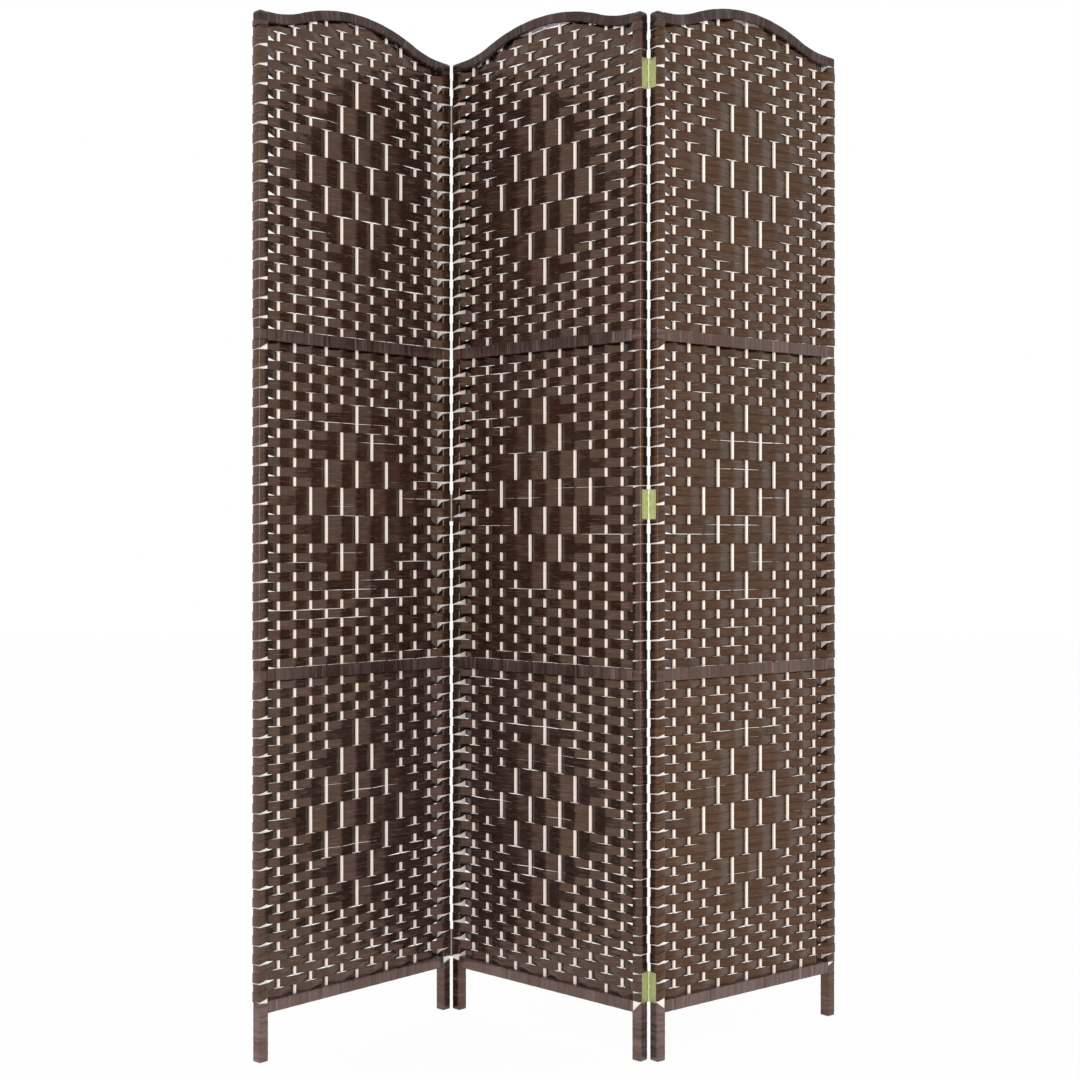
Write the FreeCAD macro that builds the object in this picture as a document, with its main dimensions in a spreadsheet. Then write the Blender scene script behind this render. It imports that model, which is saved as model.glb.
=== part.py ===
import FreeCAD, Part
import math
import os

import Sketcher
from FreeCAD import Placement, Rotation, Vector

# Folding screen of three woven panels, standing in a zigzag.
# Each panel is a wooden frame with an arched top rail. Pale stakes stand between its rails,
# dark paper ribbon is woven across them, and three butt hinges join each panel to the next.
# Millimetres, +Z up, front towards -Y, origin on the floor under the middle of the whole screen.
# A panel is drawn in its own frame: x from its left edge, y from its middle plane, z from the floor.

SIZES = {
    # wooden frame of a panel
    "panel_width": 449,
    "stile_width": 16,
    "stile_depth": 16,
    "stile_height": 1756,
    "stile_top_chamfer": 3,
    "rail_height": 18,
    "rail_depth": 15,
    "bottom_rail_level": 90,
    "lower_rail_share": 0.327,
    "upper_rail_share": 0.6633,
    "arch_end_drop": 8.5,
    "arch_rise": 40,
    "arch_turn_share": 0.38,
    "arch_height": 15,
    "tenon_length": 9,
    "tenon_height": 9,
    "tenon_depth": 7,
    "joint_clearance": 0.1,
    # stakes
    "stake_count": 11,
    "stake_end_gap": 30,
    "stake_width": 4.6,
    "stake_depth": 3,
    "stake_seat": 5,
    # woven and wound ribbon
    "ribbon_thickness": 0.6,
    "row_count": 34,
    "row_gap": 0.5,
    "weave_clearance": 0.15,
    "crown_gap": 6,
    "hook_length": 3.5,
    "row_end_height": 3,
    "diamond_steps": 4,
    "rows_per_step": 3,
    "leg_bare_end": 1,
    # hinges
    "hinge_length": 50,
    "leaf_width": 14,
    "leaf_thickness": 1.2,
    "leaf_gap": 0.8,
    "knuckle_count": 5,
    "knuckle_diameter": 5,
    "knuckle_gap": 0.3,
    "knuckle_relief": 0.4,
    "pin_diameter": 2.6,
    "pin_clearance": 0.05,
    "pin_standoff": 2.4,
    "top_hinge_drop": 102,
    "middle_hinge_share": 0.528,
    "bottom_hinge_level": 123,
    "screw_head_diameter": 4.6,
    "screw_head_depth": 1,
    "screw_diameter": 2.4,
    "screw_length": 11,
    "screw_inset": 6,
    "screw_clearance": 0.05,
    # zigzag: how far each panel is turned out of line, in degrees
    "left_panel_turn": 46.4,
    "centre_panel_turn": 45,
    "right_panel_turn": 38.2,
}

# First row of the woven diamond, counted down from the top of each section.
DIAMOND_ROWS = {
    "left": {"upper": 7, "middle": 7, "lower": 6},
    "centre": {"upper": 8, "middle": 6, "lower": 6},
    "right": {"upper": 7, "middle": 7, "lower": 6},
}

# Heights of the rails' and hinges' middles. The shares are of the height from the bottom rail to
# the arch's crown, and from the bottom hinge to the top one.
ARCH_END = "(sizes.stile_height - sizes.arch_end_drop)"
RAIL_SPAN = f"({ARCH_END} + sizes.arch_rise - sizes.bottom_rail_level)"
RAIL_LEVELS = {
    "bottom_rail": "sizes.bottom_rail_level",
    "lower_rail": f"(sizes.bottom_rail_level + sizes.lower_rail_share * {RAIL_SPAN})",
    "upper_rail": f"(sizes.bottom_rail_level + sizes.upper_rail_share * {RAIL_SPAN})",
    "arch_rail": ARCH_END,
}
STRAIGHT_RAILS = ("bottom_rail", "lower_rail", "upper_rail")
TOP_HINGE = "(sizes.stile_height - sizes.top_hinge_drop)"
HINGE_SPAN = f"({TOP_HINGE} - sizes.bottom_hinge_level)"
HINGE_LEVELS = (
    TOP_HINGE,
    f"(sizes.bottom_hinge_level + sizes.middle_hinge_share * {HINGE_SPAN})",
    "sizes.bottom_hinge_level",
)
FRONT = -1
BACK = 1

doc = FreeCAD.newDocument("folding_screen")
sheet = doc.addObject("Spreadsheet::Sheet", "sizes")
for line, (name, value) in enumerate(SIZES.items(), start=1):
    sheet.set(f"A{line}", name)
    sheet.set(f"B{line}", str(value))
    sheet.setAlias(f"B{line}", name)
doc.recompute()


def size(name):
    """One driving dimension, read back from the sheet."""
    return float(sheet.get(name))


def level(rail):
    """Height of a rail's middle, at its ends."""
    return float(sheet.evalExpression(RAIL_LEVELS[rail]))


# Values that several pieces share
width = size("panel_width")
paper = size("ribbon_thickness")
stile_width = size("stile_width")
half_depth = size("stile_depth") / 2
inner_left = stile_width
inner_right = width - stile_width
half_rail = size("rail_height") / 2
half_arch = size("arch_height") / 2
stake_count = int(size("stake_count"))
row_count = int(size("row_count"))
clearance = size("joint_clearance")
first_stake = inner_left + size("stake_end_gap")
stake_pitch = (inner_right - inner_left - 2 * size("stake_end_gap")) / (stake_count - 1)
stake_places = [first_stake + stake_pitch * number for number in range(stake_count)]
centre_stake = stake_count // 2

# Distance of a hinge pin from the wooden edge and from the middle plane of a panel
pin_reach = paper + size("leaf_thickness") + size("leaf_gap") / 2
pin_offset = half_depth + paper + size("pin_standoff")

# Expressions that several drawings share
FIRST_STAKE = "(sizes.stile_width + sizes.stake_end_gap)"
STAKE_PITCH = f"((sizes.panel_width - 2 * {FIRST_STAKE}) / (sizes.stake_count - 1))"
INNER_RIGHT = "(sizes.panel_width - sizes.stile_width)"

sub_parts = []


def add_sub_part(piece, label, place):
    """Names a finished piece, puts it in its panel's place and lists it for export."""
    piece.Label = label
    piece.Placement = place
    sub_parts.append(piece)


def wall_box(x_range, y_range, z_range):
    """Box between two limits on each axis."""
    low = Vector(x_range[0], y_range[0], z_range[0])
    return Part.makeBox(x_range[1] - x_range[0], y_range[1] - y_range[0], z_range[1] - z_range[0], low)


# Sketch helpers

def origin_plane(body, role):
    """A body's own origin plane."""
    return next(plane for plane in body.Origin.OriginFeatures if plane.Role == role)


def sketch_on(body, name, role, offset):
    """Empty sketch on an origin plane, moved along the plane's normal."""
    sketch = body.newObject("Sketcher::SketchObject", name)
    sketch.AttachmentSupport = [(origin_plane(body, role), "")]
    sketch.MapMode = "FlatFace"
    sketch.setExpression("AttachmentOffset.Base.z", offset)
    return sketch


def bind_point(sketch, kind, geometry, point, expression):
    """Holds a point at a distance from the sketch's origin."""
    value = float(sketch.evalExpression(expression))
    index = sketch.addConstraint(Sketcher.Constraint(kind, -1, 1, geometry, point, value))
    sketch.setExpression(f"Constraints[{index}]", expression)


def add_rectangle(sketch, left, low, across, up):
    """Rectangle whose lower left corner and sides follow expressions."""
    x, y, dx, dy = [float(sketch.evalExpression(text)) for text in (left, low, across, up)]
    corners = [Vector(x, y), Vector(x + dx, y), Vector(x + dx, y + dy), Vector(x, y + dy)]
    first = sketch.GeometryCount
    for side in range(4):
        sketch.addGeometry(Part.LineSegment(corners[side], corners[(side + 1) % 4]))
    for side in range(4):
        following = first + (side + 1) % 4
        sketch.addConstraint(Sketcher.Constraint("Coincident", first + side, 2, following, 1))
        direction = "Horizontal" if side % 2 == 0 else "Vertical"
        sketch.addConstraint(Sketcher.Constraint(direction, first + side))
    bind_point(sketch, "DistanceX", first, 1, left)
    bind_point(sketch, "DistanceY", first, 1, low)
    index = sketch.addConstraint(Sketcher.Constraint("DistanceX", first, 1, first, 2, dx))
    sketch.setExpression(f"Constraints[{index}]", across)
    index = sketch.addConstraint(Sketcher.Constraint("DistanceY", first + 1, 1, first + 1, 2, dy))
    sketch.setExpression(f"Constraints[{index}]", up)


def add_circle(sketch, x, y, radius):
    """Circle whose centre and radius follow expressions."""
    values = [float(sketch.evalExpression(text)) for text in (x, y, radius)]
    circle = Part.Circle(Vector(values[0], values[1]), Vector(0, 0, 1), values[2])
    geometry = sketch.addGeometry(circle)
    bind_point(sketch, "DistanceX", geometry, 3, x)
    bind_point(sketch, "DistanceY", geometry, 3, y)
    index = sketch.addConstraint(Sketcher.Constraint("Radius", geometry, values[2]))
    sketch.setExpression(f"Constraints[{index}]", radius)


def add_length_feature(body, kind, name, sketch, length, reverse=False):
    """Pad or pocket of a sketch, with its length bound to an expression."""
    feature = body.newObject(kind, name)
    feature.Profile = sketch
    feature.Reversed = reverse
    feature.setExpression("Length", length)
    return feature


# Wooden frame

def make_stile(panel, side, hinge_sides):
    """Upright with a chamfered top, a mortise for each rail and pilot holes for hinge screws."""
    is_left = side == "left"
    body = doc.addObject("PartDesign::Body", f"{panel}_{side}_stile")
    section = sketch_on(body, "section", "XY_Plane", "0")
    left_edge = "0" if is_left else INNER_RIGHT
    add_rectangle(section, left_edge, "-sizes.stile_depth / 2", "sizes.stile_width", "sizes.stile_depth")
    post = add_length_feature(body, "PartDesign::Pad", "post", section, "sizes.stile_height")
    doc.recompute()

    top = [f"Edge{number}" for number, edge in enumerate(post.Shape.Edges, start=1)
           if all(abs(vertex.Z - post.Shape.BoundBox.ZMax) < clearance for vertex in edge.Vertexes)]
    chamfer = body.newObject("PartDesign::Chamfer", "top_chamfer")
    chamfer.Base = (post, top)
    chamfer.setExpression("Size", "sizes.stile_top_chamfer")

    inner_face = "sizes.stile_width" if is_left else INNER_RIGHT
    mortises = sketch_on(body, "mortises", "YZ_Plane", inner_face)
    for height in RAIL_LEVELS.values():
        add_rectangle(mortises,
                      "-sizes.tenon_depth / 2 - sizes.joint_clearance",
                      f"{height} - sizes.tenon_height / 2 - sizes.joint_clearance",
                      "sizes.tenon_depth + 2 * sizes.joint_clearance",
                      "sizes.tenon_height + 2 * sizes.joint_clearance")
    add_length_feature(body, "PartDesign::Pocket", "mortise_pockets", mortises,
                       "sizes.tenon_length + sizes.joint_clearance", reverse=not is_left)

    for pin_side in hinge_sides:
        outer_face = "0" if is_left else "sizes.panel_width"
        pilots = sketch_on(body, "pilots", "YZ_Plane", outer_face)
        for height in HINGE_LEVELS:
            for end in (-1, 1):
                add_circle(pilots, screw_y(pin_side), screw_z(height, end),
                           "sizes.screw_diameter / 2 + sizes.screw_clearance")
        add_length_feature(body, "PartDesign::Pocket", "pilot_holes", pilots,
                           "sizes.screw_length - sizes.leaf_thickness", reverse=is_left)
    doc.recompute()
    return body


def make_straight_rail(panel, name, stakes_above, stakes_below):
    """Cross rail with a tenon at each end and a row of blind mortises for the stakes."""
    height = RAIL_LEVELS[name]
    body = doc.addObject("PartDesign::Body", f"{panel}_{name}")
    section = sketch_on(body, "section", "YZ_Plane", "sizes.stile_width")
    add_rectangle(section, "-sizes.rail_depth / 2", f"{height} - sizes.rail_height / 2",
                  "sizes.rail_depth", "sizes.rail_height")
    add_length_feature(body, "PartDesign::Pad", "bar", section,
                       "sizes.panel_width - 2 * sizes.stile_width")

    tongue = sketch_on(body, "tongue", "YZ_Plane", "sizes.stile_width - sizes.tenon_length")
    add_rectangle(tongue, "-sizes.tenon_depth / 2", f"{height} - sizes.tenon_height / 2",
                  "sizes.tenon_depth", "sizes.tenon_height")
    add_length_feature(body, "PartDesign::Pad", "tenons", tongue,
                       "sizes.panel_width - 2 * sizes.stile_width + 2 * sizes.tenon_length")

    pockets = []
    for wanted, face, reverse in ((stakes_above, "+", False), (stakes_below, "-", True)):
        if wanted:
            seat = sketch_on(body, "stake_seat", "XY_Plane", f"{height} {face} sizes.rail_height / 2")
            add_rectangle(seat,
                          f"{FIRST_STAKE} - sizes.stake_width / 2 - sizes.joint_clearance",
                          "-sizes.stake_depth / 2 - sizes.joint_clearance",
                          "sizes.stake_width + 2 * sizes.joint_clearance",
                          "sizes.stake_depth + 2 * sizes.joint_clearance")
            pockets.append(add_length_feature(body, "PartDesign::Pocket", "stake_pocket", seat,
                                              "sizes.stake_seat + sizes.joint_clearance", reverse))
    doc.recompute()
    row = body.newObject("PartDesign::LinearPattern", "stake_pockets")
    row.Originals = pockets
    row.Direction = (seat, ["H_Axis"])
    row.setExpression("Length", f"{STAKE_PITCH} * (sizes.stake_count - 1)")
    row.setExpression("Occurrences", "sizes.stake_count")
    body.Tip = row
    doc.recompute()
    return body


# Arched top: a wave of three arcs that leave the stiles level and rise to a crown

arch_half_span = (inner_right - inner_left) / 2
arch_middle = (inner_left + inner_right) / 2
arch_radii = (arch_half_span ** 2 + size("arch_rise") ** 2) / (2 * size("arch_rise"))
end_radius = arch_radii * size("arch_turn_share")
crown_radius = arch_radii - end_radius


def wave_join(offset):
    """Distance from the arch's middle at which the crown arc at an offset meets the end arcs."""
    return arch_half_span * (1 - size("arch_turn_share")) * (crown_radius + offset) / crown_radius


def wave_height(x, offset):
    """Height of the line that lies the offset above the arch's centre line."""
    from_middle = abs(x - arch_middle)
    if from_middle <= wave_join(offset):
        crown_centre = level("arch_rail") + size("arch_rise") - crown_radius
        return crown_centre + math.sqrt((crown_radius + offset) ** 2 - from_middle ** 2)
    end_centre = level("arch_rail") + end_radius
    return end_centre - math.sqrt((end_radius - offset) ** 2 - (arch_half_span - from_middle) ** 2)


def wave_reach(height, offset):
    """Distance from the arch's middle at which the line at the offset comes down to a height."""
    crown_drop = height - (level("arch_rail") + size("arch_rise") - crown_radius)
    crown_reach = math.sqrt(max((crown_radius + offset) ** 2 - crown_drop ** 2, 0))
    if crown_reach <= wave_join(offset):
        return crown_reach
    end_climb = level("arch_rail") + end_radius - height
    return arch_half_span - math.sqrt(max((end_radius - offset) ** 2 - end_climb ** 2, 0))


def wave_edges(offset):
    """Three arcs of the wave at an offset, from the left stile to the right one."""
    join = wave_join(offset)
    stops = [inner_left, arch_middle - join, arch_middle + join, inner_right]
    edges = []
    for start, end in zip(stops, stops[1:]):
        points = [Vector(x, 0, wave_height(x, offset)) for x in (start, (start + end) / 2, end)]
        edges.append(Part.Arc(*points).toShape())
    return edges


def wave_band(half_height, half_thickness):
    """Solid band along the arch's centre line."""
    upper = wave_edges(half_height)
    lower = wave_edges(-half_height)
    ends = []
    for x in (inner_left, inner_right):
        low_point = Vector(x, 0, wave_height(x, -half_height))
        ends.append(Part.makeLine(low_point, Vector(x, 0, wave_height(x, half_height))))
    outline = Part.Wire(Part.__sortEdges__(upper + lower + ends))
    face = Part.Face(outline)
    face.translate(Vector(0, -half_thickness, 0))
    return face.extrude(Vector(0, 2 * half_thickness, 0))


def stake_slot(x, low, high, room):
    """Box that clears one stake between two heights."""
    half_width = size("stake_width") / 2 + room
    half_thickness = size("stake_depth") / 2 + room
    return wall_box((x - half_width, x + half_width), (-half_thickness, half_thickness), (low, high))


def stake_slots(low, high, room):
    """Boxes that clear every stake between two heights."""
    return Part.makeCompound([stake_slot(x, low, high, room) for x in stake_places])


def arch_seat(x):
    """Height of a stake's top end inside the arched rail."""
    return wave_height(x, -half_arch) + size("stake_seat")


def make_arch_rail(panel):
    """Wave-shaped top rail with a tenon at each end and a blind mortise over each stake."""
    rail = wave_band(half_arch, size("rail_depth") / 2)
    half_tenon = (size("tenon_depth") / 2, size("tenon_height") / 2)
    end_level = level("arch_rail")
    for x_range in ((inner_left - size("tenon_length"), inner_left),
                    (inner_right, inner_right + size("tenon_length"))):
        tenon = wall_box(x_range, (-half_tenon[0], half_tenon[0]),
                         (end_level - half_tenon[1], end_level + half_tenon[1]))
        rail = rail.fuse(tenon)
    for x in stake_places:
        rail = rail.cut(stake_slot(x, end_level - size("arch_height"), arch_seat(x) + clearance, clearance))
    piece = doc.addObject("Part::Feature", f"{panel}_arch_rail")
    piece.Shape = rail.removeSplitter()
    return piece


# Sections between the rails: their stakes and woven rows

def rail_face(rail, side):
    """Wrapped upper or lower face of a straight rail."""
    return level(rail) + side * (half_rail + paper)


# The rail below each section and the one above it
SECTIONS = {
    "upper": ("upper_rail", "arch_rail"),
    "middle": ("lower_rail", "upper_rail"),
    "lower": ("bottom_rail", "lower_rail"),
}


def section_limits(section):
    """Lowest and highest point of the woven rows in a section."""
    below, above = SECTIONS[section]
    if above == "arch_rail":
        crown = wave_height(arch_middle, -half_arch - paper)
        return rail_face(below, 1), crown - size("crown_gap")
    return rail_face(below, 1), rail_face(above, -1)


def make_stakes(panel, section):
    """Upright sticks of one section, seated in the rails below and above."""
    below, above = SECTIONS[section]
    sticks = []
    for number, x in enumerate(stake_places):
        stick = doc.addObject("Part::Box", "stake")
        stick.setExpression("Length", "sizes.stake_width")
        stick.setExpression("Width", "sizes.stake_depth")
        place = f"{FIRST_STAKE} + {number} * {STAKE_PITCH} - sizes.stake_width / 2"
        foot = f"({RAIL_LEVELS[below]} + sizes.rail_height / 2 - sizes.stake_seat)"
        stick.setExpression("Placement.Base.x", place)
        stick.setExpression("Placement.Base.y", "-sizes.stake_depth / 2")
        stick.setExpression("Placement.Base.z", foot)
        if above == "arch_rail":
            stick.Height = arch_seat(x) - float(stick.evalExpression(foot))
        else:
            top = f"{RAIL_LEVELS[above]} - sizes.rail_height / 2 + sizes.stake_seat"
            stick.setExpression("Height", f"{top} - {foot}")
        sticks.append(stick)
    group = doc.addObject("Part::Compound", f"{panel}_{section}_stakes")
    group.Links = sticks
    return group


def passes_behind(row, column, diamond_row):
    """True where the ribbon of a row goes behind a stake, so that the stake shows.

    Rows count down from 1 at the top, columns from 0 at the middle stake. Outside the diamond
    every other crossing shows. Inside it the rows work in threes, and the stakes show as long
    dashes that step out to its widest group and back in again.
    """
    steps = int(size("diamond_steps"))
    group = (row - diamond_row) // int(size("rows_per_step"))
    if 0 <= group <= 2 * (steps - 1):
        reach = steps - 1 - abs(group - (steps - 1))
        if abs(column) <= reach + 1:
            return (column + reach) % 2 == 0
    return (row - diamond_row + column) % 2 == 0


def ribbon_side(row, column, diamond_row):
    """Side of the stakes, or of a stile, that the ribbon of a row lies on."""
    return BACK if passes_behind(row, column, diamond_row) else FRONT


def stake_crossings(row, diamond_row, numbers):
    """Middle line of the ribbon over the chosen stakes: a short flat at each one."""
    flat = size("stake_width") / 2 + size("weave_clearance")
    lift = size("stake_depth") / 2 + size("weave_clearance") + paper / 2
    line = []
    for number in numbers:
        y = lift * ribbon_side(row, number - centre_stake, diamond_row)
        line.append((stake_places[number] - flat, y))
        line.append((stake_places[number] + flat, y))
    return line


def hooked_outline(row, diamond_row):
    """Plan of a full row: woven across the stakes and hooked round the outer edge of both stiles."""
    side = ribbon_side(row, centre_stake + 1, diamond_row)
    face = side * half_depth
    hook = side * (half_depth - size("hook_length"))
    line = [(inner_left, face + side * paper / 2)]
    line += stake_crossings(row, diamond_row, range(stake_count))
    line.append((inner_right, face + side * paper / 2))
    outer = [(x, y + side * paper / 2) for x, y in line]
    inner = [(x, y - side * paper / 2) for x, y in line]
    left_hook = [(0, face), (0, hook), (-paper, hook), (-paper, face + side * paper)]
    right_hook = [(width + paper, face + side * paper), (width + paper, hook), (width, hook), (width, face)]
    return left_hook + outer + right_hook + inner[::-1]


def tucked_outline(row, diamond_row, reach):
    """Plan of a short row, whose ends run past its last stakes and tuck in under the arch."""
    flat = size("stake_width") / 2 + size("weave_clearance")
    numbers = [number for number, x in enumerate(stake_places) if abs(x - arch_middle) + flat < reach]
    line = stake_crossings(row, diamond_row, numbers)
    line = [(arch_middle - reach, line[0][1])] + line + [(arch_middle + reach, line[-1][1])]
    near = [(x, y - paper / 2) for x, y in line]
    far = [(x, y + paper / 2) for x, y in line]
    return near + far[::-1]


def space_under_arch(offset):
    """Block that fills the upper section up to the line at an offset from the arch's centre line."""
    floor = level("upper_rail")
    corners = [Vector(inner_left, 0, wave_height(inner_left, offset)), Vector(inner_left, 0, floor),
               Vector(inner_right, 0, floor), Vector(inner_right, 0, wave_height(inner_right, offset))]
    sides = [Part.makeLine(start, end) for start, end in zip(corners, corners[1:])]
    face = Part.Face(Part.Wire(Part.__sortEdges__(wave_edges(offset) + sides)))
    face.translate(Vector(0, -half_depth, 0))
    return face.extrude(Vector(0, 2 * half_depth, 0))


def row_solid(outline, low, high):
    """Ribbon that stands on edge between two heights."""
    points = [Vector(x, y, low) for x, y in outline]
    face = Part.Face(Part.makePolygon(points + points[:1]))
    return face.extrude(Vector(0, 0, high - low))


def full_rows(section):
    """Number of rows, from the bottom, that reach both stiles."""
    low, high = section_limits(section)
    if SECTIONS[section][1] == "arch_rail":
        room = wave_height(inner_left, -half_arch - paper) - low
        return int(room * row_count / (high - low))
    return row_count


def make_weave(panel, section):
    """Woven ribbon of one section, one solid to a row."""
    low, high = section_limits(section)
    pitch = (high - low) / row_count
    diamond_row = DIAMOND_ROWS[panel][section]
    short_rows = row_count - full_rows(section)
    under_arch = -half_arch - paper - size("row_gap")
    rows = []
    for row in range(1, row_count + 1):
        top = high - (row - 1) * pitch - size("row_gap") / 2
        bottom = high - row * pitch + size("row_gap") / 2
        if row > short_rows:
            rows.append(row_solid(hooked_outline(row, diamond_row), bottom, top))
        else:
            reach = wave_reach(bottom + size("row_end_height"), under_arch)
            ribbon = row_solid(tucked_outline(row, diamond_row, reach), bottom, top)
            rows.append(ribbon.common(space_under_arch(under_arch)).Solids[0])
    piece = doc.addObject("Part::Feature", f"{panel}_{section}_weave")
    piece.Shape = Part.makeCompound(rows)
    return piece


# Ribbon wound round the rails and stiles

def make_rail_wraps(panel):
    """Sleeve of ribbon round each rail, open where the stakes go through."""
    room = size("weave_clearance")
    half_rail_depth = size("rail_depth") / 2
    sleeves = []
    for rail in STRAIGHT_RAILS:
        middle = level(rail)
        wood = wall_box((inner_left, inner_right), (-half_rail_depth, half_rail_depth),
                        (middle - half_rail, middle + half_rail))
        outer = half_rail_depth + paper
        sleeve = wall_box((inner_left, inner_right), (-outer, outer),
                          (rail_face(rail, -1), rail_face(rail, 1))).cut(wood)
        low = middle if rail == "bottom_rail" else rail_face(rail, -1) - room
        sleeves.append(sleeve.cut(stake_slots(low, rail_face(rail, 1) + room, room)))
    arch = wave_band(half_arch + paper, half_rail_depth + paper).cut(wave_band(half_arch, half_rail_depth))
    below_arch = level("arch_rail") - size("arch_height")
    for x in stake_places:
        arch = arch.cut(stake_slot(x, below_arch, arch_seat(x), room))
    sleeves.append(arch)
    piece = doc.addObject("Part::Feature", f"{panel}_rail_wraps")
    piece.Shape = Part.makeCompound(sleeves)
    return piece


def stile_wrap_levels():
    """Heights of the bands beside the rails, where no woven row hooks round the stile."""
    low, high = section_limits("upper")
    last_row_top = low + full_rows("upper") * (high - low) / row_count
    bands = [(rail_face(rail, -1), rail_face(rail, 1)) for rail in STRAIGHT_RAILS]
    return bands + [(last_row_top, size("stile_height") - size("stile_top_chamfer"))]


def make_stile_wraps(panel):
    """Sleeve of ribbon round each leg, and bands beside the rails that leave the rail's side open."""
    half_outer = half_depth + paper
    wraps = []
    for outer_edge, inner_edge in ((0, inner_left), (width, inner_right)):
        outward = math.copysign(paper, outer_edge - inner_edge)
        wood_x = sorted((outer_edge, inner_edge))
        leg_x = sorted((outer_edge + outward, inner_edge - outward))
        band_x = sorted((outer_edge + outward, inner_edge))
        leg_z = (size("leg_bare_end"), rail_face("bottom_rail", -1))
        leg_wood = wall_box(wood_x, (-half_depth, half_depth), leg_z)
        wraps.append(wall_box(leg_x, (-half_outer, half_outer), leg_z).cut(leg_wood))
        for band_z in stile_wrap_levels():
            band_wood = wall_box(wood_x, (-half_depth, half_depth), band_z)
            wraps.append(wall_box(band_x, (-half_outer, half_outer), band_z).cut(band_wood))
    piece = doc.addObject("Part::Feature", f"{panel}_stile_wraps")
    piece.Shape = Part.makeCompound(wraps)
    return piece


# Hinges: each leaf lies on the wrapped edge of a stile, its pin outside the front or back face

PIN_OFFSET = "(sizes.stile_depth / 2 + sizes.ribbon_thickness + sizes.pin_standoff)"
PIN_REACH = "(sizes.ribbon_thickness + sizes.leaf_thickness + sizes.leaf_gap / 2)"
PLATE_EDGE = f"({PIN_OFFSET} - sizes.knuckle_diameter / 2 - sizes.knuckle_relief)"
KNUCKLE_STEP = "((sizes.hinge_length + sizes.knuckle_gap) / sizes.knuckle_count)"


def screw_y(pin_side):
    """Middle of a leaf's plate, where its screws go in."""
    return f"{pin_side} * ({PLATE_EDGE} - sizes.leaf_width / 2)"


def screw_z(height, end):
    """Height of the screw at one end of a leaf."""
    return f"{height} + {end} * (sizes.hinge_length / 2 - sizes.screw_inset)"


def edge_x(edge, outwards):
    """Place that lies a distance outside a panel's left or right edge."""
    return f"-({outwards})" if edge == "left" else f"sizes.panel_width + {outwards}"


def bind(piece, **expressions):
    """Binds a primitive's sizes to expressions of the sheet."""
    for name, expression in expressions.items():
        piece.setExpression(name, expression)


def bind_place(piece, x, y, z):
    """Binds a primitive's place to expressions of the sheet."""
    bind(piece, **{"Placement.Base.x": x, "Placement.Base.y": y, "Placement.Base.z": z})


def make_leaf_box(edge, pin_side, y_near_pin, y_far, low, height):
    """Flat part of a leaf, on the wrapped edge of a stile."""
    box = doc.addObject("Part::Box", "leaf_plate")
    left = "sizes.ribbon_thickness + sizes.leaf_thickness" if edge == "left" else "sizes.ribbon_thickness"
    bind(box, Length="sizes.leaf_thickness", Width=f"{y_near_pin} - ({y_far})", Height=height)
    start = y_far if pin_side == BACK else f"-({y_near_pin})"
    bind_place(box, edge_x(edge, left), start, low)
    return box


def make_upright_cylinder(name, edge, pin_side, radius, low, height):
    """Cylinder round a hinge's pin axis."""
    cylinder = doc.addObject("Part::Cylinder", name)
    bind(cylinder, Radius=radius, Height=height)
    bind_place(cylinder, edge_x(edge, PIN_REACH), f"{pin_side} * {PIN_OFFSET}", low)
    return cylinder


def into_edge(edge):
    """Turn that points a screw's axis into the edge of a panel."""
    return Rotation(Vector(0, 0, 1), Vector(1 if edge == "left" else -1, 0, 0))


def make_screw_shapes(edge, pin_side, height, room):
    """Head cone and shank of both screws of a leaf, grown by a clearance."""
    shapes = []
    for end in (-1, 1):
        head = doc.addObject("Part::Cone", "screw_head")
        bind(head, Radius1=f"sizes.screw_head_diameter / 2 + {room}",
             Radius2=f"sizes.screw_diameter / 2 + {room}", Height="sizes.screw_head_depth")
        shank = doc.addObject("Part::Cylinder", "screw_shank")
        bind(shank, Radius=f"sizes.screw_diameter / 2 + {room}", Height="sizes.screw_length")
        for piece in (head, shank):
            piece.Placement = Placement(Vector(), into_edge(edge))
            bind_place(piece, edge_x(edge, "sizes.ribbon_thickness + sizes.leaf_thickness"),
                       screw_y(pin_side), screw_z(height, end))
        screw = doc.addObject("Part::Fuse", "screw")
        screw.Base = head
        screw.Tool = shank
        shapes.append(screw)
    return shapes


def make_leaf(edge, pin_side, height, knuckles):
    """One hinge leaf: plate, the chosen knuckles, pin bore and countersunk screw holes."""
    low = f"({height} - sizes.hinge_length / 2)"
    solids = [make_leaf_box(edge, pin_side, PLATE_EDGE, f"({PLATE_EDGE} - sizes.leaf_width)",
                            low, "sizes.hinge_length")]
    for number in knuckles:
        start = f"{low} + {number} * {KNUCKLE_STEP}"
        length = f"{KNUCKLE_STEP} - sizes.knuckle_gap"
        solids.append(make_leaf_box(edge, pin_side, PIN_OFFSET, PLATE_EDGE, start, length))
        solids.append(make_upright_cylinder("knuckle", edge, pin_side, "sizes.knuckle_diameter / 2",
                                            start, length))
    blank = doc.addObject("Part::MultiFuse", "leaf_blank")
    blank.Shapes = solids
    bore = make_upright_cylinder("pin_bore", edge, pin_side,
                                 "sizes.pin_diameter / 2 + sizes.pin_clearance", low, "sizes.hinge_length")
    holes = doc.addObject("Part::Compound", "leaf_holes")
    holes.Links = [bore] + make_screw_shapes(edge, pin_side, height, "sizes.screw_clearance")
    leaf = doc.addObject("Part::Cut", "leaf")
    leaf.Base = blank
    leaf.Tool = holes
    return leaf


def make_group(name, pieces):
    """Several alike pieces as one sub-part of separate solids."""
    group = doc.addObject("Part::Compound", name)
    group.Links = pieces
    return group


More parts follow.
